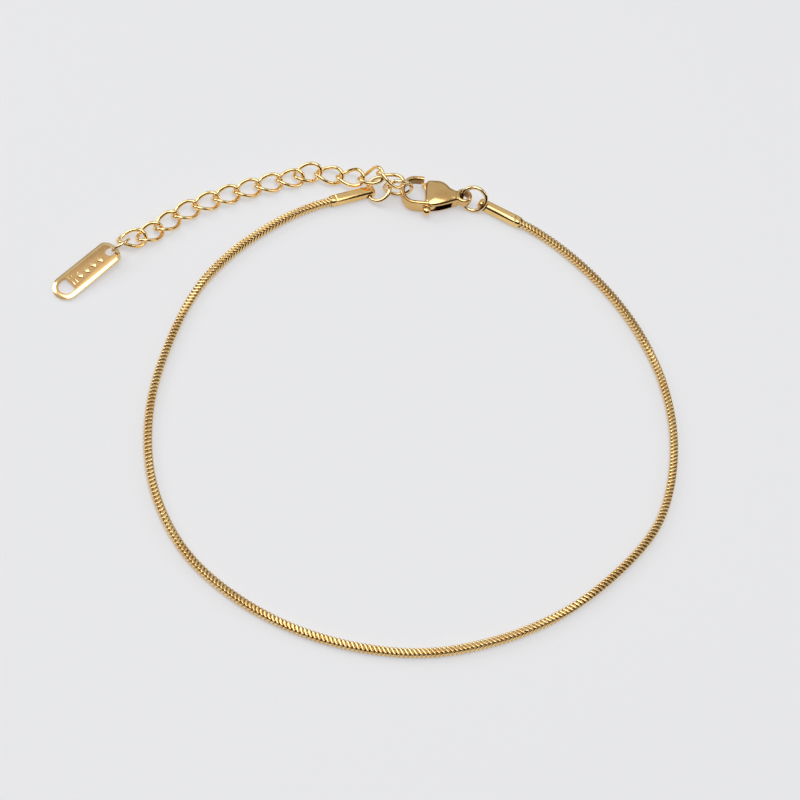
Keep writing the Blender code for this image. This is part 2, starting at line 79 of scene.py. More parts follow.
def smooth_route(points, steps=12):
    """A smooth curve through the points. A point's own direction leans to its nearer neighbour's."""
    points = [Vector(point) for point in points]
    spans = [b - a for a, b in zip(points, points[1:])]
    leans = [spans[0].normalized()]
    for before, after in zip(spans, spans[1:]):
        leans.append((before.normalized() * after.length + after.normalized() * before.length)
                     / (before.length + after.length))
    leans.append(spans[-1].normalized())
    route = []
    for a, b, span, lean_a, lean_b in zip(points, points[1:], spans, leans, leans[1:]):
        for i in range(steps):
            t = i / steps
            pull = lean_a * (t * (1 - t) ** 2) - lean_b * (t * t * (1 - t))
            route.append(a.lerp(b, t * t * (3 - 2 * t)) + span.length * pull)
    return [*route, points[-1]]


def even_stations(route, pitch):
    """(place, heading) at equal steps along a route, the step fitted so that the last ends on its end."""
    lengths = [0.0]
    for a, b in zip(route, route[1:]):
        lengths.append(lengths[-1] + (b - a).length)
    count = round(lengths[-1] / pitch)
    stations = []
    piece = 0
    for i in range(count + 1):
        along = lengths[-1] * i / count
        while piece < len(route) - 2 and lengths[piece + 1] < along:
            piece += 1
        share = (along - lengths[piece]) / (lengths[piece + 1] - lengths[piece])
        place = route[piece].lerp(route[piece + 1], share)
        stations.append((place, (route[piece + 1] - route[piece]).normalized()))
    return stations


def cap_frame(name):
    """The cap's place, with +X from its mouth to its ring's end and z = 0 on its underside."""
    x, y = CAP_MOUTHS[name]["mouth_mm"]
    turn = Matrix.Rotation(math.radians(CAP_MOUTHS[name]["heading_deg"]), 4, "Z")
    return Matrix.Translation((x * MM, y * MM, FLOOR_GAP)) @ turn


def chain_route():
    right = cap_frame("end_cap_right")
    left = cap_frame("end_cap_left")
    start = [(right @ Vector((along, 0, 0))).to_2d() for along in (CHAIN_IN_CAP, 0, -1.5 * MM)]
    end = [(left @ Vector((along, 0, 0))).to_2d() for along in (-1.5 * MM, 0, CHAIN_IN_CAP)]
    return smooth_route([*start, *(MM * Vector(point) for point in CHAIN_ROUTE_MM), *end])


def eased(share):
    share = min(max(share, 0), 1)
    return share * share * (3 - 2 * share)


def chain_roll(share):
    for (start, roll), (end, next_roll) in zip(CHAIN_ROLL_DEG, CHAIN_ROLL_DEG[1:]):
        if share <= end:
            return math.radians(roll + (next_roll - roll) * eased((share - start) / (end - start)))
    return 0.0


def chain_height(along, length, roll):
    lying = CHAIN_SIDE / 2 * (math.cos(roll) + abs(math.sin(roll))) + FLOOR_GAP
    in_cap = CAP_SIDE / 2 + FLOOR_GAP
    near_end = min(along, length - along)
    return in_cap + (lying - in_cap) * eased((near_end - CHAIN_IN_CAP) / (6 * MM))


def plate_edge():
    """(across, up, ahead, corner) round a plate: a place on a rounded square of side 2, how far the rib
    runs ahead there, and how near a corner is."""
    edge = []
    for face in range(4):
        turn = Matrix.Rotation(math.radians(90 * face), 2)
        lead = 1 if face % 2 else -1
        for i in range(PLATE_FACE_STEPS):
            t = 2 * i / PLATE_FACE_STEPS - 1
            corner = max(abs(t) - 1 + CORNER_ROUND, 0) / CORNER_ROUND
            spot = turn @ Vector((1 - 0.5 * CORNER_ROUND * corner * corner, t * (1 - 0.06 * corner)))
            edge.append((spot.x, spot.y, lead * t, abs(t) ** 3))
    return edge


def stretch_of_plates(name, stations):
    """All plates as one body, ridges and valleys, with how deep each point lies kept as the mask of painted shade in
    the grooves.
    """
    half = CHAIN_SIDE / 2
    length = PLATE_PITCH * (len(stations) - 1)
    edge = plate_edge()
    shape = bmesh.new()
    depth = shape.verts.layers.float.new("painted_shade")
    rings = []
    for i, (place, heading) in enumerate(stations[:-1]):
        side = Vector((-heading.y, heading.x))
        for step, sink in PLATE_PROFILE:
            roll = chain_roll((i + step) / (len(stations) - 1))
            height = chain_height((i + step) * PLATE_PITCH, length, roll)
            turn = Matrix.Rotation(roll, 2)
            ring = []
            for across, up, ahead, corner in edge:
                inward = sink * (1 + CORNER_NOTCH * corner) / half * MM
                spot = turn @ Vector((across, up)) * half * (1 - inward)
                on_floor = place + heading * (step * PLATE_PITCH + ahead * PLATE_SLANT) + side * spot.x
                vert = shape.verts.new((*on_floor, height + spot.y))
                # Painted shade: the deeper a point lies between plates, the darker it is painted.
                vert[depth] = min(sink * (1 + corner) / GROOVE_DARK_FROM_MM, 1)
                ring.append(vert)
            rings.append(ring)
    for one, other in zip(rings, rings[1:]):
        for k in range(len(one)):
            shape.faces.new((one[k - 1], one[k], other[k], other[k - 1]))
    shape.faces.new(reversed(rings[0]))
    shape.faces.new(rings[-1])
    bmesh.ops.recalc_face_normals(shape, faces=shape.faces)
    mesh = bpy.data.meshes.new(name)
    shape.to_mesh(mesh)
    shape.free()
    mesh.shade_smooth()
    return mesh


def plated(name, colour, deep, roughness, grain_per_mm, grain_depth, crevice=None,
           painted_shade_colour=CREVICE_SHADE, dull_roughness=0.1):
    """Gold plating: the colour drifts a little, the gloss is uneven, and fine grain breaks the light. Painted shade
    darkens and roughens it in crevices, found by ambient occlusion, and where the mesh's painted_shade attribute says
    so."""
    made = bpy.data.materials.new(name)
    made.use_nodes = True
    nodes = made.node_tree.nodes
    link = made.node_tree.links.new
    shader = nodes["Principled BSDF"]
    shader.inputs["Metallic"].default_value = 1
    place = nodes.new("ShaderNodeTexCoord")

    drift = nodes.new("ShaderNodeTexNoise")
    drift.inputs["Scale"].default_value = 0.35 / MM
    drift.inputs["Detail"].default_value = 3
    link(place.outputs["Object"], drift.inputs["Vector"])
    tone = nodes.new("ShaderNodeValToRGB")
    tone.color_ramp.elements[0].position = 0.3
    tone.color_ramp.elements[0].color = (*deep, 1)
    tone.color_ramp.elements[1].position = 0.55
    tone.color_ramp.elements[1].color = (*colour, 1)
    link(drift.outputs["Fac"], tone.inputs["Fac"])
    told = nodes.new("ShaderNodeAttribute")
    told.attribute_name = "painted_shade"
    painted_shade = told.outputs["Fac"]
    # Painted shade in crevices: ambient occlusion from the piece's own faces darkens the colour there.
    if crevice:
        closeness = nodes.new("ShaderNodeAmbientOcclusion")
        closeness.only_local = True
        closeness.samples = 8
        closeness.inputs["Distance"].default_value = crevice
        depth = nodes.new("ShaderNodeMapRange")
        depth.inputs["From Min"].default_value = 0.7
        depth.inputs["From Max"].default_value = 0.3
        link(closeness.outputs["AO"], depth.inputs["Value"])
        more = nodes.new("ShaderNodeMath")
        more.operation = "MAXIMUM"
        link(depth.outputs["Result"], more.inputs[0])
        link(painted_shade, more.inputs[1])
        painted_shade = more.outputs["Value"]
    # Painted shade: the colour goes over to the painted shade colour as far as the mask says.
    shaded = nodes.new("ShaderNodeMix")
    shaded.data_type = "RGBA"
    shaded.inputs["B"].default_value = (*painted_shade_colour, 1)
    link(painted_shade, shaded.inputs["Factor"])
    link(tone.outputs["Color"], shaded.inputs["A"])
    colours = shaded.outputs["Result"]
    link(colours, shader.inputs["Base Color"])

    grain = nodes.new("ShaderNodeTexNoise")
    grain.inputs["Scale"].default_value = grain_per_mm / MM
    grain.inputs["Detail"].default_value = 4
    link(place.outputs["Object"], grain.inputs["Vector"])
    gloss = nodes.new("ShaderNodeMapRange")
    gloss.inputs["From Min"].default_value = 0.3
    gloss.inputs["From Max"].default_value = 0.7
    gloss.inputs["To Min"].default_value = roughness * 0.75
    gloss.inputs["To Max"].default_value = roughness * 1.3
    link(grain.outputs["Fac"], gloss.inputs["Value"])
    matt = nodes.new("ShaderNodeMath")
    matt.operation = "MULTIPLY_ADD"
    matt.inputs[1].default_value = dull_roughness
    link(painted_shade, matt.inputs[0])
    link(gloss.outputs["Result"], matt.inputs[2])
    link(matt.outputs["Value"], shader.inputs["Roughness"])
    bump = nodes.new("ShaderNodeBump")
    bump.inputs["Strength"].default_value = 0.6
    bump.inputs["Distance"].default_value = grain_depth
    link(grain.outputs["Fac"], bump.inputs["Height"])
    link(bump.outputs["Normal"], shader.inputs["Normal"])
    return made


def paint_shade(piece, place, shade_at):
    """Writes how much painted shade each point of a piece gets, from where it lies in the frame of its place."""
    told = piece.data.attributes.new("painted_shade", "FLOAT", "POINT")
    local = place.inverted()
    for vert in piece.data.vertices:
        told.data[vert.index].value = shade_at(local @ vert.co / MM)


def wear(piece, finish, node, body="anklet"):
    """Puts a finish on a piece that stands for this node and rides with its body."""
    piece.data.materials.clear()
    piece.data.materials.append(finish)
    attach(piece, body)
    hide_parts(node)


def show(name, mesh):
    made = bpy.data.objects.new(name, mesh)
    bpy.context.scene.collection.objects.link(made)
    return made


# Painted shade in the grooves between plates, from the mask written in stretch_of_plates.
chain_finish = plated("chain_plating", GOLD, DEEP_GOLD, 0.17, 6, 0.003 * MM,
                      painted_shade_colour=GROOVE_SHADE)
chain = show("snake_chain_plates", stretch_of_plates("snake_chain_plates", even_stations(chain_route(), PLATE_PITCH)))
wear(chain, chain_finish, "snake_chain")

# End caps: square tubes of the same plated steel, pressed over the chain's ends and pinched there by a
# round punch. The far end is closed, rounded over and drilled for a jump ring.
CAP_LENGTH = 6.75 * MM
CAP_BORE = 1.26 * MM
CAP_BORE_DEPTH = 3.2 * MM
CAP_BORE_EDGE = 0.4 * MM
CAP_EDGE = 0.55 * MM
CAP_NOTCH = 0.75 * MM
CRIMP_FROM_MOUTH = 0.95 * MM
CRIMP_WIDTH = 0.5 * MM
CRIMP_DEPTH = 0.10 * MM
CAP_SEGMENTS = 10
RING_WIRE = 0.56 * MM
RING_HOLE = 0.84 * MM
JUMP_RINGS = {
    "jump_ring_left": {
        "middle_mm": (-3.03, 32.025, 1.543), "lean_to_deg": 221.8, "lean_deg": 32.7, "outer_mm": 3.95},
    "jump_ring_hook": {
        "middle_mm": (-0.405, 32.43, 2.167), "lean_to_deg": 280.6, "lean_deg": 97.5, "outer_mm": 4.3},
    "jump_ring_clasp": {
        "middle_mm": (10.19, 33.33, 1.75), "lean_to_deg": 264.8, "lean_deg": 59.3, "outer_mm": 4.0},
}


def polar(degrees):
    angle = math.radians(degrees)
    return Vector((math.cos(angle), math.sin(angle)))


def finished_mesh(shape, name, crease_deg=30):
    mesh = bpy.data.meshes.new(name)
    shape.to_mesh(mesh)
    shape.free()
    mesh.shade_smooth()
    mesh.set_sharp_from_angle(angle=math.radians(crease_deg))
    return mesh


def rod(name, diameter, length, segments=40):
    shape = bmesh.new()
    bmesh.ops.create_cone(shape, cap_ends=True, segments=segments, radius1=diameter / 2,
                          radius2=diameter / 2, depth=length)
    return finished_mesh(shape, name)


def block(name, size, middle, edge, segments):
    """A box with rounded edges."""
    shape = bmesh.new()
    bmesh.ops.create_cube(shape, size=1)
    bmesh.ops.scale(shape, vec=size, verts=shape.verts)
    bmesh.ops.translate(shape, vec=middle, verts=shape.verts)
    bmesh.ops.bevel(shape, geom=shape.edges, offset=edge, segments=segments, profile=0.5, affect="EDGES")
    return finished_mesh(shape, name)


def wire(name, points, thickness, closed, sides=16):
    """Round wire along a line of points."""
    count = len(points)
    shape = bmesh.new()
    normal = None
    loops = []
    for i, point in enumerate(points):
        before = points[i - 1] if closed or i else point
        after = points[(i + 1) % count] if closed or i < count - 1 else point
        ahead = (after - before).normalized()
        if normal is None:
            normal = ahead.orthogonal().normalized()
        normal = (normal - ahead * normal.dot(ahead)).normalized()
        other = ahead.cross(normal)
        loop = []
        for k in range(sides):
            turn = polar(360 * k / sides)
            loop.append(shape.verts.new(point + (normal * turn.x + other * turn.y) * thickness / 2))
        loops.append(loop)
    pairs = list(zip(loops, loops[1:]))
    if closed:
        turned = min(range(sides), key=lambda k: (loops[-1][0].co - loops[0][k].co).length)
        pairs.append((loops[-1], loops[0][turned:] + loops[0][:turned]))
    else:
        shape.faces.new(reversed(loops[0]))
        shape.faces.new(loops[-1])
    for one, two in pairs:
        for k in range(sides):
            shape.faces.new((one[k - 1], one[k], two[k], two[k - 1]))
    bmesh.ops.recalc_face_normals(shape, faces=shape.faces)
    return finished_mesh(shape, name, 60)


def ring_frame(ring):
    lean_axis = Matrix.Rotation(math.radians(ring["lean_to_deg"]), 4, "Z")
    lean = Matrix.Rotation(math.radians(ring["lean_deg"]), 4, "Y")
    return Matrix.Translation(MM * Vector(ring["middle_mm"])) @ lean_axis @ lean


def ring_line(ring, thickness, start_deg, end_deg, count):
    """Points along the middle of a ring's wire."""
    reach = (ring["outer_mm"] * MM - thickness) / 2
    turns = [start_deg + (end_deg - start_deg) * i / count for i in range(count + 1)]
    return [ring_frame(ring) @ (polar(turn) * reach).to_3d() for turn in turns]


def carved(name, base, place, others):
    """A mesh joined with or cut by others, each of them (mesh, its place, the operation)."""
    piece = show(name, base)
    piece.matrix_world = place
    helpers = []
    for mesh, where, operation in others:
        helper = show(mesh.name, mesh)
        helper.matrix_world = where
        step = piece.modifiers.new(mesh.name, "BOOLEAN")
        step.object = helper
        step.operation = operation
        helpers.append(helper)
    bpy.context.view_layer.update()
    result = bpy.data.meshes.new_from_object(piece.evaluated_get(bpy.context.evaluated_depsgraph_get()))
    for helper in helpers:
        bpy.data.objects.remove(helper)
    piece.modifiers.clear()
    piece.data = result
    result.transform(place)
    piece.matrix_world = Matrix.Identity(4)
    result.shade_smooth()
    result.set_sharp_from_angle(angle=math.radians(30))
    return piece


def end_cap(name, ring):
    place = cap_frame(name)
    tube = block(name, (CAP_LENGTH, CAP_SIDE, CAP_SIDE), (CAP_LENGTH / 2, 0, CAP_SIDE / 2), CAP_EDGE, CAP_SEGMENTS)
    bore = block("bore", (2 * CAP_BORE_DEPTH, CAP_BORE, CAP_BORE), (0, 0, CAP_SIDE / 2), CAP_BORE_EDGE, 4)
    pinch = rod("pinch", CAP_NOTCH, CAP_SIDE)
    reach = (CAP_SIDE + CRIMP_WIDTH) / 2 - CRIMP_DEPTH
    round_cap = []
    for k in range(64):
        turn = polar(360 * k / 64)
        spot = [math.copysign(abs(part) ** 0.4, part) * reach for part in turn]
        round_cap.append(Vector((CRIMP_FROM_MOUTH, spot[0], CAP_SIDE / 2 + spot[1])))
    crimp = wire("crimp", round_cap, CRIMP_WIDTH, True, 24)
    line = ring_line(JUMP_RINGS[ring], RING_WIRE, 0, 360, 64)
    passage = wire("passage", line[:-1], RING_HOLE, True, 20)
    return carved(name + "_tube", tube, place, [
        (bore, place, "DIFFERENCE"),
        (pinch, place @ Matrix.Translation((0, 0, CAP_SIDE)), "DIFFERENCE"),
        (crimp, place, "DIFFERENCE"),
        (passage, Matrix.Identity(4), "DIFFERENCE"),
    ])


# Painted shade: the caps' crevices within 0.8 mm are darkened.
cap_finish = plated("cap_plating", (0.95, 0.65, 0.27), (0.86, 0.55, 0.20), 0.13, 9, 0.003 * MM, 0.8 * MM)
for cap, ring in (("end_cap_left", "jump_ring_left"), ("end_cap_right", "jump_ring_clasp")):
    wear(end_cap(cap, ring), cap_finish, cap)

# Jump rings: round wire bent into a ring and closed end to end, with a hairline left where the ends meet.
# One joins each cap to its side of the clasp, and the third hangs in the hook with the extender.
RING_SPLIT_DEG = {"jump_ring_left": 70, "jump_ring_hook": 200, "jump_ring_clasp": 150}
SPLIT_WIDTH_DEG = 1.2


def jump_ring(name, ring, thickness, split_deg):
    line = ring_line(ring, thickness, split_deg + SPLIT_WIDTH_DEG / 2, split_deg + 360 - SPLIT_WIDTH_DEG / 2, 72)
    return show(name + "_wire", wire(name, line, thickness, False))


# Painted shade: the rings' crevices within 0.3 mm are darkened.
ring_finish = plated("ring_plating", (0.94, 0.70, 0.38), (0.84, 0.57, 0.26), 0.10, 7, 0.003 * MM, 0.3 * MM)
for name, ring in JUMP_RINGS.items():
    wear(jump_ring(name, ring, RING_WIRE, RING_SPLIT_DEG[name]), ring_finish, name)

# Lobster clasp: the body is one casting, tumbled to a satin polish. Two domed cheeks meet in the eye, and
# the hook springs from their root, sweeps round the opening and ends square against the lever's gate.
CLASP_PIN_MM = (6.49, 32.92)
CLASP_HEADING_DEG = 7.0
CLASP_HEIGHT = 2.4 * MM
CHEEK = 0.68 * MM
SLOT_HALF_MM = 0.53
# The cheeks' crown, from the rim inwards: how much of the outline's size, and mm above its middle.
CROWN_MIDDLE_MM = (-0.1, 0.25)
CROWN = ((1.0, 0.60), (0.99, 0.70), (0.965, 0.79), (0.93, 0.86), (0.885, 0.92), (0.83, 0.975),
         (0.76, 1.03), (0.68, 1.08), (0.58, 1.13), (0.47, 1.165), (0.35, 1.187), (0.2, 1.197))
EYE_MIDDLE = (2.28 * MM, 0.17 * MM)
EYE_OUTER = 2.35 * MM
EYE_THICK = 1.35 * MM
EYE_HEIGHT = 1.55 * MM
EYE_HOLE = 1.5 * MM
PIN = 0.7 * MM
PIN_HOLE = 0.95 * MM
HOOK_MIDDLE_MM = (-4.4, 0.45)
HOOK_REACH_MM = (1.85, 2.1)
HOOK_STATIONS = (
    {"turn_deg": 270, "slide_mm": 1.80, "low_mm": 0.10, "high_mm": 2.25},
    {"turn_deg": 270, "slide_mm": 0.60, "low_mm": 0.03, "high_mm": 2.22},
    {"turn_deg": 258, "slide_mm": 0.00, "low_mm": 0.05, "high_mm": 2.18},
    {"turn_deg": 238, "slide_mm": 0.00, "low_mm": 0.16, "high_mm": 2.12},
    {"turn_deg": 216, "slide_mm": 0.00, "low_mm": 0.52, "high_mm": 2.06},
    {"turn_deg": 196, "slide_mm": 0.00, "low_mm": 0.95, "high_mm": 2.04},
    {"turn_deg": 176, "slide_mm": 0.00, "low_mm": 1.00, "high_mm": 2.04},
    {"turn_deg": 156, "slide_mm": 0.00, "low_mm": 0.95, "high_mm": 2.06},
    {"turn_deg": 134, "slide_mm": 0.00, "low_mm": 0.76, "high_mm": 2.08},
    {"turn_deg": 112, "slide_mm": 0.00, "low_mm": 0.72, "high_mm": 2.10},
    {"turn_deg": 90, "slide_mm": 0.10, "low_mm": 0.70, "high_mm": 2.10},
    {"turn_deg": 90, "slide_mm": 1.10, "low_mm": 0.70, "high_mm": 2.10},
)


def arc(middle, radius, start_deg, end_deg, steps):
    turns = [start_deg + (end_deg - start_deg) * i / steps for i in range(steps + 1)]
    return [tuple(Vector(middle) + radius * polar(turn)) for turn in turns]


def plate(name, outlines, low, high, edge, edge_steps):
    """Closed outlines, the later ones holes in the first, as a flat solid with rounded edges."""
    curve = bpy.data.curves.new(name, "CURVE")
    curve.dimensions = "2D"
    curve.fill_mode = "BOTH"
    curve.extrude = (high - low) / 2 - edge
    curve.bevel_depth = edge
    curve.bevel_resolution = edge_steps
    curve.offset = -edge
    for outline in outlines:
        spline = curve.splines.new("POLY")
        spline.points.add(len(outline) - 1)
        spline.use_cyclic_u = True
        for point, spot in zip(spline.points, outline):
            point.co = (*spot, 0, 1)
    guide = show(name, curve)
    bpy.context.view_layer.update()
    evaluated = guide.evaluated_get(bpy.context.evaluated_depsgraph_get())
    shape = bmesh.new()
    shape.from_mesh(bpy.data.meshes.new_from_object(evaluated))
    bpy.data.objects.remove(guide)
    bmesh.ops.remove_doubles(shape, verts=shape.verts, dist=0.001 * MM)
    bmesh.ops.translate(shape, vec=(0, 0, (low + high) / 2), verts=shape.verts)
    bmesh.ops.recalc_face_normals(shape, faces=shape.faces)
    return finished_mesh(shape, name)


def loft(name, sections):
    shape = bmesh.new()
    loops = [[shape.verts.new(point) for point in section] for section in sections]
    for one, other in zip(loops, loops[1:]):
        for i in range(len(one)):
            shape.faces.new((one[i - 1], one[i], other[i], other[i - 1]))
    shape.faces.new(reversed(loops[0]))
    shape.faces.new(loops[-1])
    bmesh.ops.recalc_face_normals(shape, faces=shape.faces)
    return finished_mesh(shape, name, 50)


def clasp_frame():
    x, y = CLASP_PIN_MM
    turn = Matrix.Rotation(math.radians(CLASP_HEADING_DEG), 4, "Z")
    return Matrix.Translation((x * MM, y * MM, FLOOR_GAP)) @ turn


def clasp_point(x_mm, y_mm):
    return (x_mm * MM, y_mm * MM)


def softened(outline, rounds=2):
    """Cuts an outline's corners, so that it reads as one flowing line."""
    points = [Vector(point) for point in outline]
    for _ in range(rounds):
        cut = []
        for a, b in zip(points, [*points[1:], points[0]]):
            cut += [a.lerp(b, 0.25), a.lerp(b, 0.75)]
        points = cut
    return [tuple(point) for point in points]


def shell_outline():
    return [
        *arc(clasp_point(-2.35, 1.75), 0.65 * MM, 180, 110, 4),
        *arc(clasp_point(-1.45, 0.45), 1.98 * MM, 98, 30, 9),
        clasp_point(1.15, 0.95), clasp_point(1.75, 0.85), clasp_point(1.75, -0.6),
        clasp_point(1.1, -0.8), clasp_point(-0.1, -1.4), clasp_point(-1.3, -1.85),
        *arc(clasp_point(-2.25, -1.2), 0.8 * MM, 265, 190, 5),
    ]


def hook_sections():
    middle = Vector(clasp_point(*HOOK_MIDDLE_MM))
    half_wide = 0.33 * MM
    rows = []
    for row, next_row in zip(HOOK_STATIONS, HOOK_STATIONS[1:]):
        rows += [{key: row[key] + (next_row[key] - row[key]) * i / 5 for key in row} for i in range(5)]
    rows.append(HOOK_STATIONS[-1])
    sections = []
    for row in rows:
        turn = polar(row["turn_deg"])
        spot = middle + MM * Vector((HOOK_REACH_MM[0] * turn.x + row["slide_mm"], HOOK_REACH_MM[1] * turn.y))
        out = Vector((turn.x / HOOK_REACH_MM[0], turn.y / HOOK_REACH_MM[1])).normalized()
        low = row["low_mm"] * MM
        high = row["high_mm"] * MM
        section = []
        for k in range(24):
            round_turn = polar(360 * (k + 0.5) / 24)
            reach = half_wide * math.copysign(abs(round_turn.x) ** 0.6, round_turn.x)
            rise = (high - low) / 2 * math.copysign(abs(round_turn.y) ** 0.6, round_turn.y)
            section.append((*(spot + out * reach), (high + low) / 2 + rise))
        sections.append(section)
    return sections


def slot_outline():
    return [clasp_point(*spot) for spot in (
        (0.95, 0.0), (0.75, 0.7), (0.2, 1.15), (-1.2, 1.75), (-2.0, 3.2), (-3.28, 3.2), (-3.28, -3.2),
        (0.2, -3.2), (0.75, -0.7))]


def cheek_sections():
    """The outline, drawn in towards the crown's middle at each height from the lower face to the upper."""
    middle = Vector(clasp_point(*CROWN_MIDDLE_MM))
    outline = [Vector(point) for point in softened(shell_outline())]
    steps = [(share, -rise) for share, rise in reversed(CROWN)] + list(CROWN)
    return [[(*middle.lerp(point, share), CLASP_HEIGHT / 2 + rise * MM) for point in outline]
            for share, rise in steps]


def clasp_casting():
    place = clasp_frame()
    shell = loft("clasp_cheeks", cheek_sections())
    eye_shape = bmesh.new()
    bmesh.ops.create_cone(eye_shape, cap_ends=True, segments=64, radius1=EYE_OUTER / 2,
                          radius2=EYE_OUTER / 2, depth=EYE_THICK)
    rims = [edge for edge in eye_shape.edges if abs(edge.verts[0].co.z - edge.verts[1].co.z) < EYE_THICK / 2]
    bmesh.ops.bevel(eye_shape, geom=rims, offset=0.3 * MM, segments=5, profile=0.5, affect="EDGES")
    eye = finished_mesh(eye_shape, "eye")
    eye_place = place @ Matrix.Translation((*EYE_MIDDLE, EYE_HEIGHT))
    line = ring_line(JUMP_RINGS["jump_ring_clasp"], RING_WIRE, 0, 360, 64)
    casting = carved("clasp_casting", shell, place, [
        (eye, eye_place, "UNION"),
        (loft("hook", hook_sections()), place, "UNION"),
        (plate("slot", [slot_outline()], CHEEK, CLASP_HEIGHT - CHEEK, 0.01 * MM, 0), place, "DIFFERENCE"),
        (rod("pin", PIN, CLASP_HEIGHT - CHEEK), place @ Matrix.Translation((0, 0, CLASP_HEIGHT / 2)), "UNION"),
        (rod("eye_hole", EYE_HOLE, 2 * CLASP_HEIGHT, 48), eye_place, "DIFFERENCE"),
        (wire("eye_passage", line[:-1], RING_HOLE, True, 20), Matrix.Identity(4), "DIFFERENCE"),
    ])
    # Painted shade in the slot and on the inside of the hook.
    paint_shade(casting, place, painted_shade_in_slot_and_hook)
    return casting


def painted_shade_in_slot_and_hook(spot):
    """Painted shade: the slot between the cheeks is painted dark, and the inside of the hook nearly as dark."""
    across = (spot.x - HOOK_MIDDLE_MM[0]) / (HOOK_REACH_MM[0] - 0.1)
    along = (spot.y - HOOK_MIDDLE_MM[1]) / (HOOK_REACH_MM[1] - 0.1)
    if abs(spot.z - CLASP_HEIGHT / MM / 2) < SLOT_HALF_MM and -3.1 < spot.x < 0.97:
        return 0.85
    return 0.7 if math.hypot(across, along) < 1 and spot.x < -3.2 else 0.0


# Painted shade: the clasp's crevices within 1.6 mm are darkened.
clasp_finish = plated("clasp_plating", (0.80, 0.52, 0.21), (0.70, 0.43, 0.155), 0.14, 12, 0.004 * MM, 1.6 * MM)
wear(clasp_casting(), clasp_finish, "clasp_body")

# The clasp's lever turns on the pin between the cheeks, against a small spring inside. Its gate closes the
# hook's mouth, and its arm ends in the round knob for the thumb.
LEVER_THICK = 0.84 * MM
KNOB = 1.25 * MM


def lever_outline():
    return [
        *arc((0, 0), 0.76 * MM, -40, 80, 10),
        clasp_point(-1.5, 1.1), clasp_point(-2.35, 1.75), clasp_point(-2.9, 2.08), clasp_point(-3.52, 2.08),
        clasp_point(-3.58, 1.72), clasp_point(-3.12, 1.3), clasp_point(-3.05, 0.2), clasp_point(-3.02, -0.8),
        clasp_point(-3.12, -1.7), clasp_point(-2.9, -2.1), clasp_point(-2.3, -2.0), clasp_point(-1.6, -1.78),
        clasp_point(-0.85, -1.1), clasp_point(-0.3, -0.74),
    ]


def lever():
    middle = CLASP_HEIGHT / 2
    place = clasp_frame() @ Matrix.Translation((0, 0, middle))
    arm = plate("lever_arm", [softened(lever_outline(), 1)], -LEVER_THICK / 2, LEVER_THICK / 2, 0.12 * MM, 2)
    knob = bmesh.new()
    bmesh.ops.create_uvsphere(knob, u_segments=40, v_segments=24, radius=KNOB / 2)
    bmesh.ops.scale(knob, vec=(1, 1, 0.95), verts=knob.verts)
    knob_place = place @ Matrix.Translation((*clasp_point(-2.75, -2.42), 0))
    made = carved("clasp_lever_arm", arm, place, [
        (finished_mesh(knob, "knob"), knob_place, "UNION"),
        (rod("lever_hole", PIN_HOLE, 4 * LEVER_THICK), place, "DIFFERENCE"),
    ])
    # Painted shade: the arm is painted dark where it lies inside the slot between the cheeks.
    paint_shade(made, place, lambda spot: float(spot.x > -1.7))
    return made


# Painted shade: the lever's crevices within 0.6 mm are darkened.
lever_finish = plated("lever_plating", (0.92, 0.62, 0.26), (0.80, 0.50, 0.19), 0.16, 12, 0.003 * MM, 0.6 * MM)
wear(lever(), lever_finish, "clasp_lever", "lever")

# Extender: curb links of bright plated wire, each bent round, twisted about its length and closed, so that
# the run lies flat with every link through its neighbours.
LINK_LENGTH = 4.3 * MM
LINK_WIDTH = 3.05 * MM
LINK_WIRE = 0.53 * MM
LINK_FULLNESS = 0.8
LINK_TWIST_DEG = 84.0
LINK_STEPS = 64
LINKS = (
    {"middle_mm": (-34.09, 16.57, 0.84), "turn_deg": (-1.9, 1.0, 24.9)},
    {"middle_mm": (-31.97, 18.02, 0.76), "turn_deg": (0, 0, 47)},
    {"middle_mm": (-30.11, 20.30, 0.80), "turn_deg": (1, 0, 50.3)},
    {"middle_mm": (-28.13, 22.71, 0.77), "turn_deg": (0, 0, 41)},
    {"middle_mm": (-25.75, 24.78, 0.79), "turn_deg": (-1, 0, 36.6)},
    {"middle_mm": (-23.34, 26.57, 0.76), "turn_deg": (0, 0, 34.4)},
    {"middle_mm": (-20.77, 28.32, 0.77), "turn_deg": (0, 0, 31.3)},
    {"middle_mm": (-18.09, 29.90, 0.80), "turn_deg": (2, 0, 29)},
    {"middle_mm": (-15.40, 31.45, 0.77), "turn_deg": (0, 0, 22)},
    {"middle_mm": (-13.16, 32.87, 0.88), "turn_deg": (12, -2.5, 28.6)},
    {"middle_mm": (-10.25, 33.35, 0.77), "turn_deg": (0, 0, 6)},
    {"middle_mm": (-7.195, 33.377, 1.219), "turn_deg": (4.7, -16.5, -5.4)},
    {"middle_mm": (-4.349, 33.371, 2.446), "turn_deg": (6.0, -35.1, -5.0)},
    {"middle_mm": (-1.699, 32.717, 3.567), "turn_deg": (-29.3, 8.9, -10.5)},
)


def curb_line():
    """A full oval twisted about its length."""
    half_length = (LINK_LENGTH - LINK_WIRE) / 2
    half_width = (LINK_WIDTH - LINK_WIRE) / 2
    points = []
    for i in range(LINK_STEPS):
        turn = polar(360 * (i + 0.5) / LINK_STEPS)
        twist = polar(LINK_TWIST_DEG / 2 * turn.x)
        across = half_width * math.copysign(abs(turn.y) ** LINK_FULLNESS, turn.y)
        points.append(Vector((half_length * turn.x, across * twist.x, across * twist.y)))
    return points


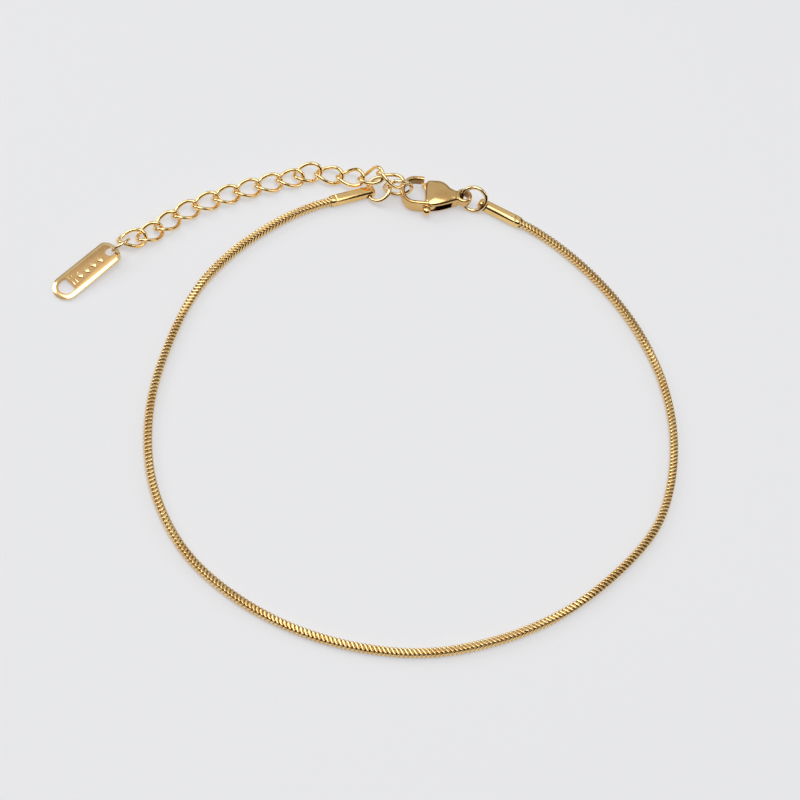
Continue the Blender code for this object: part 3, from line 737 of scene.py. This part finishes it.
# Painted shade: the links' crevices within 0.3 mm are darkened.
link_finish = plated("link_plating", (0.98, 0.72, 0.35), (0.90, 0.60, 0.24), 0.10, 7, 0.003 * MM, 0.3 * MM)
for i, row in enumerate(LINKS):
    node = f"extender_link_{i + 1:02d}"
    link_wire = wire(node, curb_line(), LINK_WIRE, True)
    turns = [math.radians(turn) for turn in row["turn_deg"]]
    for turn, axis in zip(turns, "XYZ"):
        link_wire.transform(Matrix.Rotation(turn, 4, axis))
    link_wire.transform(Matrix.Translation(MM * Vector(row["middle_mm"])))
    wear(show(node + "_wire", link_wire), link_finish, node)

# Tag: stamped from sheet, satin on its face with a bright trimmed edge, and hung by a small ring. The face carries
# two raised bars and a row of raised lozenges. Its flat face is painted a dim brown, a painted dim reflection, while
# the bars, lozenges and edge keep the bright gold.
TAG_LENGTH = 10.6 * MM
TAG_WIDTH = 3.7 * MM
TAG_THICK = 0.5 * MM
TAG_PROFILE_MM = (
    (0.16, 0.0), (0.05, 0.05), (0.0, 0.14), (0.0, 0.28), (0.03, 0.36), (0.10, 0.405), (0.48, 0.485), (0.56, 0.5),
)
# Painted dim reflection: the brown that the tag's flat face is painted.
TAG_FACE_PAINTED_DIM = (0.43, 0.265, 0.112)
TAG_MIDDLE_MM = (-38.68, 10.13)
TAG_HEADING_DEG = 55.0
TAG_PITCH_DEG = 6.0
TAG_BIG_HOLE = 2.4 * MM
TAG_BIG_HOLE_FROM_END = 2.0 * MM
TAG_SMALL_HOLE = 1.36 * MM
TAG_SMALL_HOLE_FROM_END = 1.08 * MM
TAG_BLUNT_RADIUS = 2.3 * MM
TAG_RELIEF = 0.13 * MM
TAG_RING = {"middle_mm": (-35.16, 14.82, 1.5), "lean_to_deg": 144.3, "lean_deg": 62.0, "outer_mm": 3.13}
TAG_RING_WIRE = 0.42 * MM


def tag_outline(inset):
    half = TAG_LENGTH / 2
    side = TAG_WIDTH / 2 - inset
    blunt = arc((half - TAG_BLUNT_RADIUS, 0), TAG_BLUNT_RADIUS - inset, -48, 48, 20)
    shoulder = half - 1.1 * MM - inset / 3
    return [(shoulder, -side), *blunt, (shoulder, side), *arc((TAG_WIDTH / 2 - half, 0), side, 90, 270, 40)]


def tag_holes():
    half = TAG_LENGTH / 2
    big_hole = arc((TAG_BIG_HOLE_FROM_END - half, 0), TAG_BIG_HOLE / 2, 60, 300, 40)
    small_hole = arc((half - TAG_SMALL_HOLE_FROM_END, 0), TAG_SMALL_HOLE / 2, 0, 350, 35)
    return [big_hole, small_hole]


def tag_frame():
    pitch = math.radians(TAG_PITCH_DEG)
    x, y = TAG_MIDDLE_MM
    place = Matrix.Translation((x * MM, y * MM, FLOOR_GAP + TAG_LENGTH / 2 * math.sin(pitch)))
    return place @ Matrix.Rotation(math.radians(TAG_HEADING_DEG), 4, "Z") @ Matrix.Rotation(-pitch, 4, "Y")


def tag():
    place = tag_frame()
    raised = []
    low = TAG_THICK / 2
    high = TAG_THICK + TAG_RELIEF
    for i in range(2):
        middle = ((0.5 * i - 2.4) * MM, 0, (low + high) / 2)
        raised.append((block(f"bar_{i}", (0.2 * MM, 1.5 * MM, high - low), middle, 0.05 * MM, 3), place, "UNION"))
    for i in range(4):
        x = (1.15 * i - 1.0) * MM
        shape = [(x - 0.42 * MM, 0), (x, -0.62 * MM), (x + 0.42 * MM, 0), (x, 0.62 * MM)]
        raised.append((plate(f"lozenge_{i}", [shape], low, high, 0.05 * MM, 2), place, "UNION"))
    rims = [[(*spot, rise * MM) for spot in tag_outline(inset * MM)] for inset, rise in TAG_PROFILE_MM]
    for i, hole in enumerate(tag_holes()):
        raised.append((plate(f"hole_{i}", [hole], -TAG_THICK, 2 * TAG_THICK, 0.01 * MM, 0), place, "DIFFERENCE"))
    made = carved("tag_plate", loft("tag_plate", rims), place, raised)
    # Painted dim reflection on the flat face at the sheet's full thickness; the raised parts and the edge stay gold.
    paint_shade(made, place, lambda spot: float(abs(spot.z - TAG_THICK / MM) < 0.01))
    return made


tag_finish = plated("tag_plating", (0.94, 0.68, 0.34), (0.86, 0.58, 0.25), 0.14, 14, 0.004 * MM,
                    painted_shade_colour=TAG_FACE_PAINTED_DIM, dull_roughness=0.18)
wear(jump_ring("tag_ring", TAG_RING, TAG_RING_WIRE, 20), ring_finish, "tag_ring")
wear(tag(), tag_finish, "tag")

# The table: a wide matt sheet, pale and a little cool. It glows about as brightly as it is lit from above, painted
# light in its own colour with no lamp below it, so that shadows stay faint. It isn't part of the anklet.
TABLE = 4.0
TABLE_WHITE = (0.40, 0.40, 0.403)
TABLE_GLOW = (0.407, 0.407, 0.413)

table_shape = bmesh.new()
bmesh.ops.create_grid(table_shape, x_segments=2, y_segments=2, size=TABLE / 2)
table = show("table", finished_mesh(table_shape, "table"))
table_paper = bpy.data.materials.new("table_paper")
table_paper.use_nodes = True
paper = table_paper.node_tree.nodes["Principled BSDF"]
paper.inputs["Base Color"].default_value = (*TABLE_WHITE, 1)
# Painted light: the sheet's own glow fills in its shadows.
paper.inputs["Emission Color"].default_value = (*TABLE_GLOW, 1)
paper.inputs["Emission Strength"].default_value = 1
paper.inputs["Roughness"].default_value = 0.8
paper.inputs["Specular IOR Level"].default_value = 0.1
table.data.materials.append(table_paper)

# Soft studio light: a large panel overhead, one on each side, and a pale room that darkens low down in
# front, where the photographer stands. The dark lines on polished metal are that part of the room.
ROOM_PALE = (0.93, 0.95, 1.0)
ROOM_DARK = (0.030, 0.024, 0.020)
ROOM_STRENGTH = 0.68
ROOM_TOWARD = (-0.10, 0.30, 0.70)
ROOM_RAMP = ((0.24, 0.0), (0.45, 0.5), (0.62, 1.0))
PANELS = (
    {"name": "overhead", "place": (-0.02, -0.02, 0.60), "size": (0.58, 0.36), "radiance": 2.68},
    {"name": "left", "place": (-0.50, 0.16, 0.36), "size": (0.30, 0.34), "radiance": 3.0},
    {"name": "right", "place": (0.52, 0.10, 0.30), "size": (0.16, 0.34), "radiance": 3.0},
)

for row in PANELS:
    panel = bpy.data.lights.new(row["name"], "AREA")
    panel.shape = "RECTANGLE"
    panel.size, panel.size_y = row["size"]
    panel.energy = row["radiance"] * math.pi * panel.size * panel.size_y
    lamp = show("panel_" + row["name"], panel)
    lamp.location = row["place"]
    lamp.rotation_euler = (-Vector(row["place"])).to_track_quat("-Z", "Y").to_euler()

room = bpy.data.worlds.new("room")
room.use_nodes = True
room_nodes = room.node_tree.nodes
direction = room_nodes.new("ShaderNodeTexCoord")
height_in_room = room_nodes.new("ShaderNodeVectorMath")
height_in_room.operation = "DOT_PRODUCT"
height_in_room.inputs[1].default_value = ROOM_TOWARD
room_tone = room_nodes.new("ShaderNodeValToRGB")
for stop, (place, share) in enumerate(ROOM_RAMP):
    if stop > 1:
        room_tone.color_ramp.elements.new(place)
    room_tone.color_ramp.elements[stop].position = place
    colour = [dark + (pale - dark) * share for dark, pale in zip(ROOM_DARK, ROOM_PALE)]
    room_tone.color_ramp.elements[stop].color = (*colour, 1)
room_shade = room_nodes["Background"]
room_shade.inputs["Strength"].default_value = ROOM_STRENGTH
room.node_tree.links.new(direction.outputs["Generated"], height_in_room.inputs[0])
room.node_tree.links.new(height_in_room.outputs["Value"], room_tone.inputs["Fac"])
room.node_tree.links.new(room_tone.outputs["Color"], room_shade.inputs["Color"])
bpy.context.scene.world = room
bpy.context.scene.view_settings.view_transform = "Standard"

# The camera stands in front, 60 degrees up, with the picture turned a little clockwise.
CAMERA_PLACE = Vector((5.5, -120.01, 208.14)) * MM
CAMERA_LOOK = Vector((0, 0.5010, -0.8654))
PICTURE_TURN = math.radians(11.1)
LENS_MM = 82.88
SENSOR_MM = 36.0

camera_data = bpy.data.cameras.new("camera")
camera_data.lens = LENS_MM
camera_data.sensor_width = SENSOR_MM
camera_data.clip_start = 0.01
camera = show("camera", camera_data)
level = Vector((1, 0, 0))
upright = level.cross(CAMERA_LOOK)
right = level * math.cos(PICTURE_TURN) + upright * math.sin(PICTURE_TURN)
above = right.cross(CAMERA_LOOK)
camera.matrix_world = Matrix.Translation(CAMERA_PLACE) @ Matrix((right, above, -CAMERA_LOOK)).transposed().to_4x4()
bpy.context.scene.camera = camera
